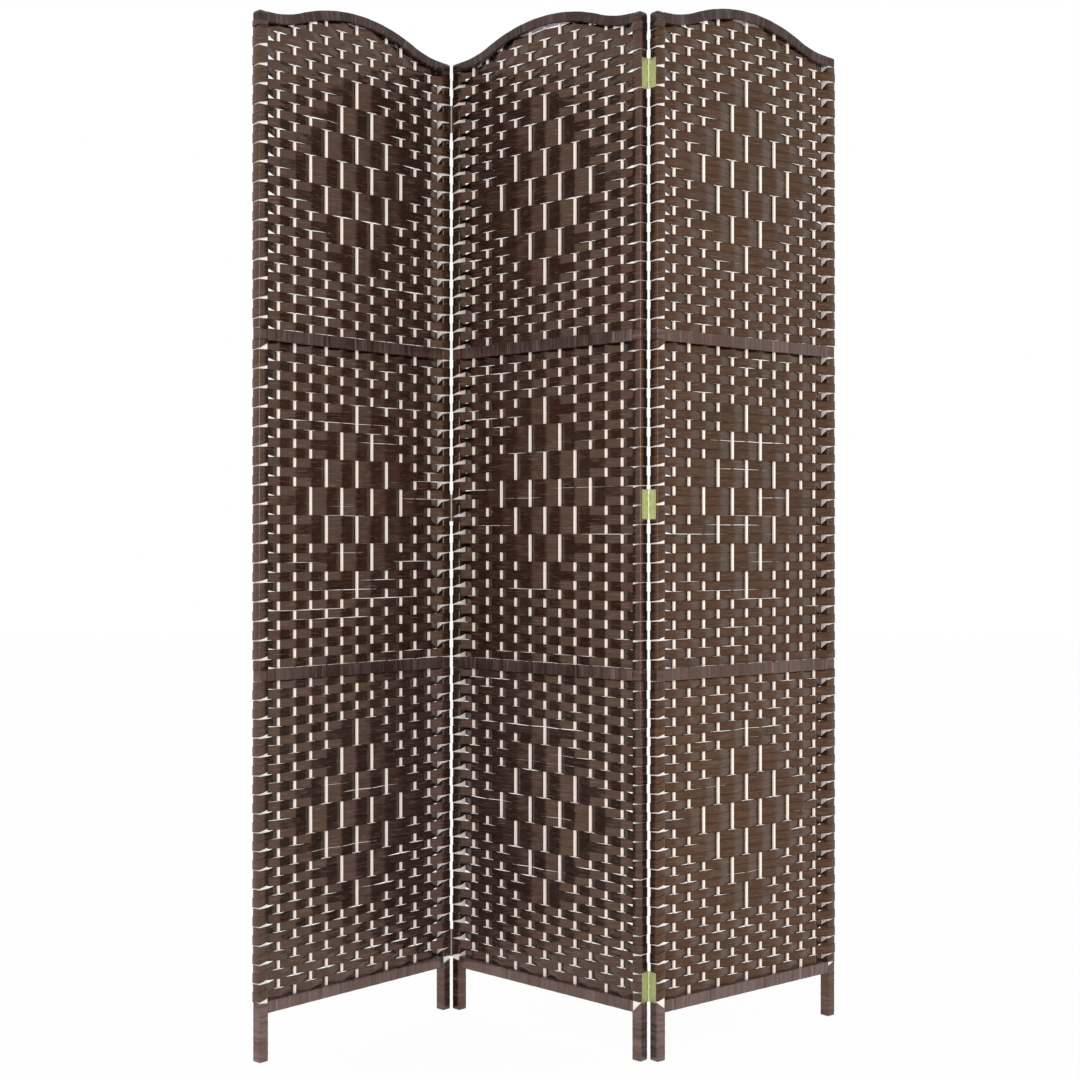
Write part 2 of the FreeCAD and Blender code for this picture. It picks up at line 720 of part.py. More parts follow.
def add_hinge_half(junction, panel, place, edge, pin_side, takes_outer_knuckles):
    """Leaves and screws of one junction on one of its two panels."""
    count = int(size("knuckle_count"))
    knuckles = range(0 if takes_outer_knuckles else 1, count, 2)
    leaves = [make_leaf(edge, pin_side, height, knuckles) for height in HINGE_LEVELS]
    screws = []
    for height in HINGE_LEVELS:
        screws += make_screw_shapes(edge, pin_side, height, "0")
    add_sub_part(make_group("leaves", leaves), f"{junction}_hinge_{panel}_leaves", place)
    add_sub_part(make_group("screws", screws), f"{junction}_hinge_{panel}_screws", place)


def add_hinge_pins(junction, place, edge, pin_side):
    """The three pins of one junction."""
    pins = [make_upright_cylinder("pin", edge, pin_side, "sizes.pin_diameter / 2",
                                  f"{height} - sizes.hinge_length / 2", "sizes.hinge_length")
            for height in HINGE_LEVELS]
    add_sub_part(make_group("pins", pins), f"{junction}_hinge_pins", place)


# Zigzag: the centre panel is turned first, and the outer panels hang on its two hinge pins

def turned_about_pin(degrees, own_pin, world_pin):
    """Placement that turns a panel and brings its own pin axis to a place in the plan."""
    turn = Rotation(Vector(0, 0, 1), degrees)
    return Placement(world_pin - turn.multVec(own_pin), turn)


def plan_corners(place):
    """Corners of a wrapped panel in the plan."""
    return [place.multVec(Vector(x, y, 0))
            for x in (-paper, width + paper) for y in (-half_depth - paper, half_depth + paper)]


def panel_places():
    """Placements of the three panels, with the whole plan centred on the origin."""
    left_edge_pin = {side: Vector(-pin_reach, side * pin_offset, 0) for side in (FRONT, BACK)}
    right_edge_pin = {side: Vector(width + pin_reach, side * pin_offset, 0) for side in (FRONT, BACK)}
    centre = turned_about_pin(-size("centre_panel_turn"), Vector(width / 2, 0, 0), Vector())
    left_pin = centre.multVec(left_edge_pin[FRONT])
    right_pin = centre.multVec(right_edge_pin[BACK])
    places = {
        "left": turned_about_pin(size("left_panel_turn"), right_edge_pin[FRONT], left_pin),
        "centre": centre,
        "right": turned_about_pin(size("right_panel_turn"), left_edge_pin[BACK], right_pin),
    }
    plan = FreeCAD.BoundBox()
    for place in places.values():
        for corner in plan_corners(place):
            plan.add(corner)
    for place in places.values():
        place.Base = place.Base - Vector(plan.Center.x, plan.Center.y, 0)
    return places


# Build

places = panel_places()
hinge_edges = {
    "left": {"left": [], "right": [FRONT]},
    "centre": {"left": [FRONT], "right": [BACK]},
    "right": {"left": [BACK], "right": []},
}
for panel, place in places.items():
    for side, pin_sides in hinge_edges[panel].items():
        add_sub_part(make_stile(panel, side, pin_sides), f"{panel}_panel_{side}_stile", place)
    rails = {"bottom_rail": (True, False), "lower_rail": (True, True), "upper_rail": (True, True)}
    for name, (stakes_above, stakes_below) in rails.items():
        rail = make_straight_rail(panel, name, stakes_above, stakes_below)
        add_sub_part(rail, f"{panel}_panel_{name}", place)
    add_sub_part(make_arch_rail(panel), f"{panel}_panel_arch_rail", place)
    for section in SECTIONS:
        add_sub_part(make_stakes(panel, section), f"{panel}_panel_{section}_stakes", place)
        add_sub_part(make_weave(panel, section), f"{panel}_panel_{section}_weave", place)
    add_sub_part(make_rail_wraps(panel), f"{panel}_panel_rail_wraps", place)
    add_sub_part(make_stile_wraps(panel), f"{panel}_panel_stile_wraps", place)

add_hinge_half("left", "outer", places["left"], "right", FRONT, True)
add_hinge_half("left", "centre", places["centre"], "left", FRONT, False)
add_hinge_pins("left", places["centre"], "left", FRONT)
add_hinge_half("right", "outer", places["right"], "left", BACK, True)
add_hinge_half("right", "centre", places["centre"], "right", BACK, False)
add_hinge_pins("right", places["centre"], "right", BACK)
doc.recompute()

# Check every object before anything is written
for item in doc.Objects:
    if "Invalid" in item.State or "Error" in item.State:
        raise RuntimeError(f"{item.Name} ({item.Label}) failed: {item.State}")
for piece in sub_parts:
    if piece.Shape.isNull() or not piece.Shape.isValid():
        raise RuntimeError(f"{piece.Label} has no valid shape")

os.makedirs("parts", exist_ok=True)
for piece in sub_parts:
    piece.Shape.exportStep(f"parts/{piece.Label}.step")

left_pin = places["centre"].multVec(Vector(-pin_reach, FRONT * pin_offset, 0))
right_pin = places["centre"].multVec(Vector(width + pin_reach, BACK * pin_offset, 0))
print(f"{len(sub_parts)} sub-parts, {sum(len(piece.Shape.Solids) for piece in sub_parts)} solids")
print(f"left pin at {left_pin.x:.3f}, {left_pin.y:.3f}; right pin at {right_pin.x:.3f}, {right_pin.y:.3f}")
for panel, place in places.items():
    foot = place.multVec(Vector(stile_width / 2, 0, 0))
    print(f"{panel} panel: left leg at {foot.x:.3f}, {foot.y:.3f}")
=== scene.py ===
import math
from collections import namedtuple

import bmesh
import bpy
from mathutils import Matrix, Vector, noise


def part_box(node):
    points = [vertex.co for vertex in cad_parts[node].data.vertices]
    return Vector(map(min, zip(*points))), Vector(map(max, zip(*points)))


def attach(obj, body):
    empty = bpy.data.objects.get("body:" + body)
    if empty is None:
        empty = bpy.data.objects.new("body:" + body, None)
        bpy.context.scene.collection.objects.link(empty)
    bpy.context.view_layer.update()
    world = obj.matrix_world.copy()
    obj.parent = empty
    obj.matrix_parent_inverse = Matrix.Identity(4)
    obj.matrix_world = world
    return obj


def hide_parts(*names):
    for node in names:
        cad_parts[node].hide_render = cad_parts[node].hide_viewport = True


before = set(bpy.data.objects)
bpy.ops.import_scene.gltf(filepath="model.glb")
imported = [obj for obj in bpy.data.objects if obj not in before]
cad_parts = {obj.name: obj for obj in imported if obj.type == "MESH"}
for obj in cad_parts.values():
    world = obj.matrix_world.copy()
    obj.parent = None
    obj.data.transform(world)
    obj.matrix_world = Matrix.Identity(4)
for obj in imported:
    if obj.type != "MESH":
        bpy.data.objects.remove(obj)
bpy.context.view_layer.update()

# Folding screen of three woven panels. The wooden frame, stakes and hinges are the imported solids.
# The paper ribbon is laid here: woven over and under the stakes, turned round the stiles, and
# wound round the rails and legs. A panel's own frame has x from its left edge, y from its middle
# plane (the front is negative) and z from the floor. All sizes are in metres.

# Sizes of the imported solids

PANELS = ("left", "centre", "right")
# The rails below and above each section
SECTIONS = {
    "upper": ("upper_rail", "arch_rail"),
    "middle": ("lower_rail", "upper_rail"),
    "lower": ("bottom_rail", "lower_rail"),
}
PANEL_WIDTH = 0.449
STILE = 0.016
RAIL_HEIGHT = 0.018
RAIL_DEPTH = 0.015
ARCH_HEIGHT = 0.015
ARCH_RISE = 0.040
# Share of the arch's half span that each end arc takes
ARCH_TURN_SHARE = 0.38
STAKE_COUNT = 11
# From a stile's inner face to the middle of the nearest stake
STAKE_END_GAP = 0.030
STAKE_WIDTH = 0.0046
STAKE_DEPTH = 0.003
# Thickness of the ribbon
PAPER = 0.0006

INNER_LEFT = STILE
INNER_RIGHT = PANEL_WIDTH - STILE
INNER_WIDTH = INNER_RIGHT - INNER_LEFT
MIDDLE = PANEL_WIDTH / 2
FIRST_STAKE = INNER_LEFT + STAKE_END_GAP
STAKE_PITCH = (INNER_WIDTH - 2 * STAKE_END_GAP) / (STAKE_COUNT - 1)
STAKES = [FIRST_STAKE + STAKE_PITCH * number for number in range(STAKE_COUNT)]
CENTRE_STAKE = STAKE_COUNT // 2
FRONT = -1
BACK = 1


# Materials

# Fibre bundles about 30 mm long and 2.4 mm wide, coarser than real ones so that they show
FIBRE_SIZE = (0.03, 0.0024, 1)
# Creases and dye patches about 25 mm long and 6 mm wide
PATCH_SIZE = (0.025, 0.006, 1)
PAPER_RELIEF = 0.0006
PAPER_REFRACTION = 1.53
DARK_BROWN = "#130b07"
RED_DYE = "#2b130b"
PALE_FIBRE = "#6e5b4f"
FOLD_SHADE = "#060302"
# Painted shade along the edges of each woven row, where shade falls between the rows
PAINTED_SEAM_SHADE = "#0a0503"
WORN_EDGE = "#a99c94"
# Wood grain runs upright, in lines about 120 mm long
GRAIN_LENGTH = 0.12
GRAIN_RELIEF = 0.0003
# Tarnish clouds about 6 mm across, rougher than the clean metal by this much
TARNISH_SIZE = 0.006
TARNISH_ROUGHNESS = 0.2
# Rolling marks 0.5 mm apart, about 20 mm long up the leaf
ROLLING_SIZE = (0.0005, 0.0005, 0.02)
ROLLING_RELIEF = 0.0001


def colour(code):
    """Linear colour of an sRGB hex value."""
    shades = [int(code[place:place + 2], 16) / 255 for place in (1, 3, 5)]
    linear = [shade / 12.92 if shade <= 0.04045 else ((shade + 0.055) / 1.055) ** 2.4
              for shade in shades]
    return (*linear, 1)


def new_material(name):
    """Material without nodes, and its node tree."""
    material = bpy.data.materials.new(name)
    material.use_nodes = True
    material.node_tree.nodes.clear()
    return material, material.node_tree


def add_node(tree, kind, sockets=None, **settings):
    """Adds a node, sets its properties, and sets or links its inputs."""
    node = tree.nodes.new(kind)
    for name, value in settings.items():
        setattr(node, name, value)
    for socket, value in (sockets or {}).items():
        if isinstance(value, bpy.types.NodeSocket):
            tree.links.new(value, node.inputs[socket])
        else:
            node.inputs[socket].default_value = value
    return node


def vertex_value(tree, name):
    """Value that the vertices carry under a name."""
    return add_node(tree, "ShaderNodeAttribute", attribute_name=name).outputs["Fac"]


def blend(tree, share, first, second):
    """Colour between two others."""
    sockets = {"Factor": share, "A": first, "B": second}
    return add_node(tree, "ShaderNodeMix", sockets, data_type="RGBA").outputs[2]


def remap(tree, value, target, source=(0, 1)):
    """Value carried from a source range to a target range, and held at its ends."""
    sockets = {"Value": value, "From Min": source[0], "From Max": source[1],
               "To Min": target[0], "To Max": target[1]}
    return add_node(tree, "ShaderNodeMapRange", sockets).outputs["Result"]


def streaks(tree, place, size, **settings):
    """Noise whose streaks are about as large as the size along each axis."""
    scale = [1 / side for side in size]
    stretched = add_node(tree, "ShaderNodeMapping", {"Vector": place, "Scale": scale})
    sockets = {"Vector": stretched.outputs["Vector"], "Scale": 1.0, **settings}
    return add_node(tree, "ShaderNodeTexNoise", sockets).outputs["Fac"]


def relief(tree, height, strength, depth):
    """Surface direction over a fine relief."""
    sockets = {"Height": height, "Strength": strength, "Distance": depth}
    return add_node(tree, "ShaderNodeBump", sockets).outputs["Normal"]


def close_material(tree, sockets):
    """Ends a material's nodes in one surface with these inputs."""
    surface = add_node(tree, "ShaderNodeBsdfPrincipled", sockets).outputs["BSDF"]
    add_node(tree, "ShaderNodeOutputMaterial", {"Surface": surface})


def kraft_paper(name, shine, sheen, pale_tone):
    """Dark dyed kraft paper: a warm sheen over fine fibre lines that run along the ribbon.

    The tone of a vertex goes from dark brown at 0 to the pale tone at 1, and on to a worn edge.
    """
    material, tree = new_material(name)
    place = add_node(tree, "ShaderNodeUVMap", uv_map="ribbon").outputs["UV"]
    fibres = streaks(tree, place, FIBRE_SIZE, Detail=4.0, Roughness=0.6)
    patches = streaks(tree, place, PATCH_SIZE, Detail=2.0)
    tone = vertex_value(tree, "tone")
    layers = (
        (remap(tree, patches, source=(0.48, 0.70), target=(0, 0.6)), RED_DYE),
        (remap(tree, fibres, source=(0.55, 0.70), target=(0, 0.6)), PALE_FIBRE),
        (remap(tree, fibres, source=(0.48, 0.30), target=(0, 0.9)), FOLD_SHADE),
        # Painted shade on the edges of the woven rows, for the shade between rows
        (vertex_value(tree, "seam_shade"), PAINTED_SEAM_SHADE),
        (remap(tree, tone, source=(1.0, 1.6), target=(0, 0.8)), WORN_EDGE),
    )
    tint = blend(tree, tone, colour(DARK_BROWN), colour(pale_tone))
    for share, shade in layers:
        tint = blend(tree, share, tint, colour(shade))
    height = add_node(tree, "ShaderNodeMath", {0: fibres, 1: patches}, operation="ADD")
    close_material(tree, {
        "Base Color": tint,
        "Roughness": remap(tree, fibres, target=(0.12, 0.28)),
        "Normal": relief(tree, height.outputs["Value"], strength=0.5, depth=PAPER_RELIEF),
        "IOR": PAPER_REFRACTION,
        "Specular IOR Level": shine,
        "Specular Tint": colour(sheen),
    })
    return material


def pale_wood(name, light, dark, grain_width):
    """Bare planed softwood: long faint grain lines up the stick, with a dull surface."""
    material, tree = new_material(name)
    place = add_node(tree, "ShaderNodeTexCoord").outputs["Object"]
    grain_size = (grain_width, grain_width, GRAIN_LENGTH)
    grain = streaks(tree, place, grain_size, Detail=3.0, Distortion=0.4)
    close_material(tree, {
        "Base Color": blend(tree, grain, colour(light), colour(dark)),
        "Roughness": remap(tree, grain, target=(0.55, 0.8)),
        "Normal": relief(tree, grain, strength=0.3, depth=GRAIN_RELIEF),
    })
    return material


def worn_metal(name, clean, dull, roughness):
    """Rolled metal with a plated finish: cloudy tarnish and faint rolling marks."""
    material, tree = new_material(name)
    place = add_node(tree, "ShaderNodeTexCoord").outputs["Object"]
    cloud_sockets = {"Vector": place, "Scale": 1 / TARNISH_SIZE, "Detail": 3.0}
    clouds = add_node(tree, "ShaderNodeTexNoise", cloud_sockets).outputs["Fac"]
    marks = streaks(tree, place, ROLLING_SIZE)
    close_material(tree, {
        "Base Color": blend(tree, clouds, colour(clean), colour(dull)),
        "Metallic": 1.0,
        "Roughness": remap(tree, clouds, target=(roughness, roughness + TARNISH_ROUGHNESS)),
        "Normal": relief(tree, marks, strength=0.2, depth=ROLLING_RELIEF),
    })
    return material


# A panel's place and levels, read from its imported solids

def box_centre(node):
    """Middle of a solid's box."""
    low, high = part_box(node)
    return (low + high) / 2


def panel_place(panel):
    """Matrix from a panel's own frame to the model's."""
    left = box_centre(f"{panel}_panel_left_stile")
    right = box_centre(f"{panel}_panel_right_stile")
    along = (right - left).normalized()
    corner = left - along * STILE / 2
    return Matrix((
        (along.x, -along.y, 0, corner.x),
        (along.y, along.x, 0, corner.y),
        (along.z, 0, 1, 0),
        (0, 0, 0, 1),
    ))


def rail_level(panel, rail):
    """Height of a rail's middle, at its ends for the arched rail."""
    node = f"{panel}_panel_{rail}"
    if rail == "arch_rail":
        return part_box(node)[1].z - ARCH_RISE - ARCH_HEIGHT / 2
    return box_centre(node).z


def rail_faces(panel, rail):
    """Heights of a straight rail's underside and top, with its ribbon."""
    level = rail_level(panel, rail)
    return level - RAIL_HEIGHT / 2 - PAPER, level + RAIL_HEIGHT / 2 + PAPER


# Arched rail: three arcs that leave the stiles level and rise to a crown

HALF_SPAN = INNER_WIDTH / 2
ARCH_RADII = (HALF_SPAN ** 2 + ARCH_RISE ** 2) / (2 * ARCH_RISE)
END_RADIUS = ARCH_RADII * ARCH_TURN_SHARE
CROWN_RADIUS = ARCH_RADII - END_RADIUS


def wave_height(x, offset):
    """Height above the arch's ends of the line that lies the offset above its centre line."""
    from_middle = min(abs(x - MIDDLE), HALF_SPAN)
    crown = CROWN_RADIUS + offset
    if from_middle <= HALF_SPAN * (1 - ARCH_TURN_SHARE) * crown / CROWN_RADIUS:
        return ARCH_RISE - CROWN_RADIUS + math.sqrt(crown ** 2 - from_middle ** 2)
    return END_RADIUS - math.sqrt((END_RADIUS - offset) ** 2 - (HALF_SPAN - from_middle) ** 2)


# Pattern of the weave

ROW_COUNT = 34
DIAMOND_STEPS = 4
ROWS_PER_STEP = 3
# First row of the diamond, counted down from the top of a section
DIAMOND_ROWS = {
    "left": {"upper": 7, "middle": 7, "lower": 6},
    "centre": {"upper": 8, "middle": 6, "lower": 6},
    "right": {"upper": 7, "middle": 7, "lower": 6},
}


def passes_behind(row, column, diamond_row):
    """True where a row goes behind a stake, so that the stake shows.

    Outside the diamond every other crossing shows. Inside it the rows work in threes, and the
    stakes show as long dashes that step out to the widest group and back in again.
    """
    group = (row - diamond_row) // ROWS_PER_STEP
    if 0 <= group <= 2 * (DIAMOND_STEPS - 1):
        reach = DIAMOND_STEPS - 1 - abs(group - (DIAMOND_STEPS - 1))
        if abs(column) <= reach + 1:
            return (column + reach) % 2 == 0
    return (row - diamond_row + column) % 2 == 0


# Tones of the ribbon

# Paleness of the ribbon in each section and on each rail, most of it near the floor. The paler lower
# weave is painted light from the bright floor.
PART_LIGHTNESS = {
    "upper": 0.02, "middle": 0.02, "lower": 0.10,
    "bottom_rail": 0.6, "lower_rail": 0.25, "upper_rail": 0.3, "arch_rail": 0.1,
}
# Paleness added to all of a panel's weave: painted light on the right panel, which stands open to the
# light while the other two face each other
PAINTED_PANEL_LIGHT = {"left": 0.0, "centre": 0.0, "right": 0.2}
# Paleness of each panel's left and right leg. Much of its spread is painted shade: the legs beside
# the valley are kept dark, where shade falls between the panels.
LEG_LIGHTNESS = {"left": (0.75, 0.3), "centre": (0.0, 0.6), "right": (0.7, 0.15)}


# Lie of the woven rows

# Distance of the ribbon from a stake's face, and so from the middle plane, at a crossing
CROSSING_SLACK = 0.0016
CROSSING_LIFT = STAKE_DEPTH / 2 + CROSSING_SLACK
# Distance of the ribbon from a stile's faces, and from its outer edge beside a hinge or where free
FACE_LIFT = 0.0009
HINGE_EDGE_LIFT = 0.0008
FREE_EDGE_LIFT = 0.0020
STILE_FACE = STILE / 2 + FACE_LIFT
# Distance between two layers of ribbon on a stile, and the radius of their bends
LAYER = 0.0007
TURN_RADIUS = 0.0020
BEND_ANGLES = (0, math.pi / 4, math.pi / 2)
BEND_STATIONS = len(BEND_ANGLES)
# Steps of a row between two stakes, and between a stake and a stile
CROSSING_STEPS = 5
END_STEPS = 6

# A turn goes one and a half times round a stile. These are the shares of a row that it has come
# down by at the six corners that it passes.
LEFT_FALLS = {
    "left": (0.04, 0.08, 0.30, 0.60, 0.85, 0.97),
    "centre": (0.04, 0.08, 0.36, 0.64, 0.94, 0.98),
    "right": (0.04, 0.08, 0.30, 0.60, 0.85, 0.97),
}
RIGHT_FALLS = (0.02, 0.06, 0.22, 0.93, 0.96, 0.98)
# Stations of a turn before its second pass over the first face, and before the end of that pass
SECOND_PASS = 3 * BEND_STATIONS
LAST_PASS = 4 * BEND_STATIONS + 1
# Height of the first turn's ribbon where it comes out under a rail, as a share of a row
FIRST_TURN_SHARE = 0.3
# Share of a row by which a front row's lower edge is drawn up where it leaves the left stile
PINCHES = {"left": 0.2, "centre": 0.0, "right": 0.2}

# Open gap between the arched rail and the first row at the crown
CROWN_GAPS = {"left": 0.0015, "centre": 0.006, "right": 0.0035}
# Slit left open on each panel between a section's last row and the rail below it
RAIL_SLITS = {
    "upper": (0.0022, 0.0004, 0.0017),
    "middle": (0.0012, 0.0011, 0.0010),
    "lower": (0, 0, 0),
}
# Distance by which a row's upper edge is pushed back under a rail
RAIL_TUCK = 0.0040
# Distance between the arch's ribbon and the rows that it presses down
ROOF_GAP = 0.0002
# A row is cut off by the arch if less than this height of it would reach the stiles
SHORT_ROW_MARGIN = 0.004
# Least height of a row, of a turn, and of a short row at its ends
LEAST_ROW = 0.002
LEAST_TURN = 0.001
LEAST_SHORT_ROW = 0.003

# Seams between rows sway up and down by this much, over about this length
SEAM_SWAY = 0.0004
SWAY_LENGTH = 0.05
SWAY_ROW_STEP = 3.7
# Rows lap by this much where they are taut, and slits grow where the slack goes past their start
SEAM_LAP = 0.0003
SLIT_GROWTH = 0.0024
SLIT_START = 0.14
SLACK_LENGTH = 0.14
SLACK_ROW_STEP = 5.3
SLACK_SEED = 0.5
# The noise of each panel's weave starts this far from the last one's
PANEL_SEED_STEP = 10.0

# A place that the ribbon passes. The tuck is how far its upper edge is pushed back.
Station = namedtuple("Station", "x y low high tuck", defaults=(0,))


class Weave:
    """One woven section of a panel: its levels, and the stations that its ribbon passes."""

    def __init__(self, panel, section):
        below, above = SECTIONS[section]
        number = PANELS.index(panel)
        self.diamond_row = DIAMOND_ROWS[panel][section]
        self.seed = PANEL_SEED_STEP * number + list(SECTIONS).index(section)
        self.left_lift = FREE_EDGE_LIFT if panel == PANELS[0] else HINGE_EDGE_LIFT
        self.right_lift = FREE_EDGE_LIFT if panel == PANELS[-1] else HINGE_EDGE_LIFT
        self.left_falls = LEFT_FALLS[panel]
        self.pinch = PINCHES[panel]
        self.dust = PART_LIGHTNESS[section] + PAINTED_PANEL_LIGHT[panel]
        self.slit = RAIL_SLITS[section][number]
        self.low = rail_faces(panel, below)[1]
        self.arch_end = None
        if above == "arch_rail":
            self.arch_end = rail_level(panel, above)
            self.high = self.arch_under(MIDDLE) - CROWN_GAPS[panel]
        else:
            self.high = rail_faces(panel, above)[0]
        self.pitch = (self.high - self.low) / ROW_COUNT

    def arch_under(self, x):
        """Height of the wrapped arch's underside."""
        return self.arch_end + wave_height(x, -ARCH_HEIGHT / 2 - PAPER)

    def roof(self, x):
        """Highest level that paper can reach."""
        if self.arch_end is None:
            return self.high
        return min(self.high, self.arch_under(x) - ROOF_GAP)

    def top(self, row):
        """Upper boundary of a row."""
        return self.high - (row - 1) * self.pitch

    def is_front(self, row):
        """True if the row lies on the front of both stiles."""
        return not passes_behind(row, CENTRE_STAKE + 1, self.diamond_row)

    def is_short(self, row):
        """True if the arch cuts the row off before it reaches the stiles."""
        return self.top(row + 1) > self.roof(INNER_LEFT) - SHORT_ROW_MARGIN

    def seam(self, x, row):
        """Height of the seam between a row and the one above it, and the slit left open there."""
        sway = noise.noise(Vector((x / SWAY_LENGTH, row * SWAY_ROW_STEP, self.seed)))
        slack_seed = self.seed + SLACK_SEED
        slack = noise.noise(Vector((x / SLACK_LENGTH, row * SLACK_ROW_STEP, slack_seed)))
        slit = -SEAM_LAP + SLIT_GROWTH * max(slack - SLIT_START, 0)
        return self.top(row) + SEAM_SWAY * sway, slit

    def edges(self, x, row):
        """Lower and upper edge of a row, a little uneven and pressed down under the arch."""
        upper, slit_above = self.seam(x, row)
        lower, slit_below = self.seam(x, row + 1)
        high = min(upper - slit_above / 2, self.roof(x))
        low = lower + slit_below / 2 + (self.slit if row == ROW_COUNT else 0)
        return min(low, high - LEAST_ROW), high

    def tuck(self, x, row):
        """Distance by which a row's upper edge is pushed back, which is only done under a rail."""
        is_under = row == 1 if self.arch_end is None else self.top(row) > self.roof(x)
        return RAIL_TUCK if is_under else 0

    def crossings(self, row):
        """Stations of a row over and under the stakes, from left to right."""
        stations = []
        flat = STAKE_WIDTH / 2
        sides = [BACK if passes_behind(row, number - CENTRE_STAKE, self.diamond_row) else FRONT
                 for number in range(STAKE_COUNT)]
        for number, stake in enumerate(STAKES):
            y = sides[number] * CROSSING_LIFT
            tuck = self.tuck(stake, row) if sides[number] == BACK else 0
            for x in (stake - flat, stake, stake + flat):
                stations.append(Station(x, y, *self.edges(x, row), tuck))
            if number + 1 < STAKE_COUNT:
                next_x = STAKES[number + 1] - flat
                next_y = sides[number + 1] * CROSSING_LIFT
                stations += self.stretch(row, stake + flat, y, next_x, next_y, CROSSING_STEPS)
        return stations

    def stretch(self, row, start_x, start_y, end_x, end_y, steps):
        """Stations between two posts, where the ribbon runs straight across."""
        stations = []
        for step in range(1, steps):
            share = step / steps
            x = start_x + (end_x - start_x) * share
            y = start_y + (end_y - start_y) * share
            stations.append(Station(x, y, *self.edges(x, row), self.tuck(x, row)))
        return stations

    def row_stations(self, row):
        """Stations of a full row in the ribbon's order: a front row runs left, a back row right."""
        stations = self.crossings(row)
        ends_left = self.is_front(row)
        side = FRONT if ends_left else BACK
        ends = []
        for is_left, corner in ((True, INNER_LEFT), (False, INNER_RIGHT)):
            near = stations[0] if is_left else stations[-1]
            face = side * (STILE_FACE if is_left == ends_left else STILE_FACE + LAYER)
            path = [Station(corner, face, *self.edges(corner, row))]
            path += self.stretch(row, corner, face, near.x, near.y, END_STEPS)
            ends.append(path)
        if ends_left:
            ends[0] = [self.pinched(station, stations[0].x) for station in ends[0]]
        stations = ends[0] + stations + ends[1][::-1]
        return stations[::-1] if ends_left else stations

    def pinched(self, station, near):
        """Station at the left end of a row, with its lower edge drawn up towards the stile."""
        share = (near - station.x) / (near - INNER_LEFT)
        low = min(station.low + self.pinch * share * self.pitch, station.high - LEAST_ROW)
        return station._replace(low=low)

    def turn(self, row):
        """Stations one and a half times round a stile, from a row's face to the next row's."""
        is_left = self.is_front(row)
        inward = 1 if is_left else -1
        inner = INNER_LEFT if is_left else INNER_RIGHT
        outer = -self.left_lift if is_left else PANEL_WIDTH + self.right_lift
        side = FRONT if is_left else BACK
        corners = [(False, side, 0), (False, -side, 0), (True, -side, 0),
                   (True, side, LAYER), (False, side, LAYER), (False, -side, LAYER)]
        falls = self.left_falls if is_left else RIGHT_FALLS
        stations = []
        for (is_inner, face_side, layer), fall in zip(corners, falls):
            edge = inner + inward * (FACE_LIFT + layer) if is_inner else outer - inward * layer
            face = face_side * (STILE_FACE + layer)
            towards = -inward if is_inner else inward
            edges = self.turn_edges(inner, row, fall)
            bend = []
            for angle in BEND_ANGLES:
                x = edge + towards * TURN_RADIUS * (1 - math.sin(angle))
                y = face - face_side * TURN_RADIUS * (1 - math.cos(angle))
                bend.append(Station(x, y, *edges))
            comes_along_face = (face_side == side) != is_inner
            stations += bend if comes_along_face else bend[::-1]
        return stations

    def turn_edges(self, x, row, fall):
        """Lower and upper edge of a turn that has come down by a share of a row."""
        low, high = self.edges(x, row)
        next_low, next_high = self.edges(x, row + 1)
        low = max(low + (next_low - low) * fall, self.low)
        high = min(high + (next_high - high) * fall, self.roof(x))
        return low, max(high, low + LEAST_TURN)

    def strips(self):
        """Runs of stations that each make one unbroken ribbon, with their first row's number."""
        runs = []
        first = 1
        while self.is_short(first):
            runs.append((first, self.short_row(first)))
            first += 1
        strip = self.turn(first - 1)[SECOND_PASS:]
        for number, station in enumerate(strip[:BEND_STATIONS]):
            strip[number] = station._replace(low=station.high - FIRST_TURN_SHARE * self.pitch)
        for row in range(first, ROW_COUNT + 1):
            strip += self.row_stations(row)
            strip += self.turn(row) if row < ROW_COUNT else self.turn(row)[:LAST_PASS]
        runs.append((first, strip))
        return runs

    def short_row(self, row):
        """Stations of a row that ends under the arch."""
        least_roof = self.top(row + 1) + LEAST_SHORT_ROW
        return [station for station in self.crossings(row) if self.roof(station.x) > least_roof]


# Making a ribbon's mesh

# Two points nearer than this are the same place
SAME_PLACE = 1e-6
# A new grid goes from minus this to plus this on both its axes
GRID_HALF = 0.5
# Faces across a woven ribbon
ACROSS = 6
# The paper between the stiles is crumpled by this much, in dents of about this length
CRUMPLE = 0.0007
CRUMPLE_LENGTH = 0.02
CRUMPLES_ACROSS = 3
# Tones of the woven ribbon drift by this much over about this length
TONE_SPREAD = 0.14
TONE_LENGTH = 0.09
TONE_SEED = 0.5
# The seeds of a section's strips are one part in this many apart for each row
ROWS_PER_SEED = 7


def ribbon_mesh():
    """Empty mesh under construction, with the layers that the paper reads."""
    bm = bmesh.new()
    bm.loops.layers.uv.new("ribbon")
    bm.verts.layers.float.new("tone")
    bm.verts.layers.float.new("seam_shade")
    return bm


def map_faces(bm, verts, spots, finish=0):
    """Smooths the faces of new vertices, and sets their finish and their spots on the ribbon."""
    uv = bm.loops.layers.uv["ribbon"]
    for face in {face for vertex in verts for face in vertex.link_faces}:
        face.smooth = True
        face.material_index = finish
        for loop in face.loops:
            loop[uv].uv = spots[loop.vert]


def finish_piece(bm, name, panel, node, materials):
    """Puts a mesh in its panel's place, dresses it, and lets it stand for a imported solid."""
    bmesh.ops.transform(bm, matrix=panel_place(panel), verts=bm.verts)
    mesh = bpy.data.meshes.new(name)
    bm.to_mesh(mesh)
    bm.free()
    piece = bpy.data.objects.new(name, mesh)
    bpy.context.scene.collection.objects.link(piece)
    for material in materials:
        mesh.materials.append(material)
    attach(piece, f"{panel}_panel")
    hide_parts(node)
    return piece


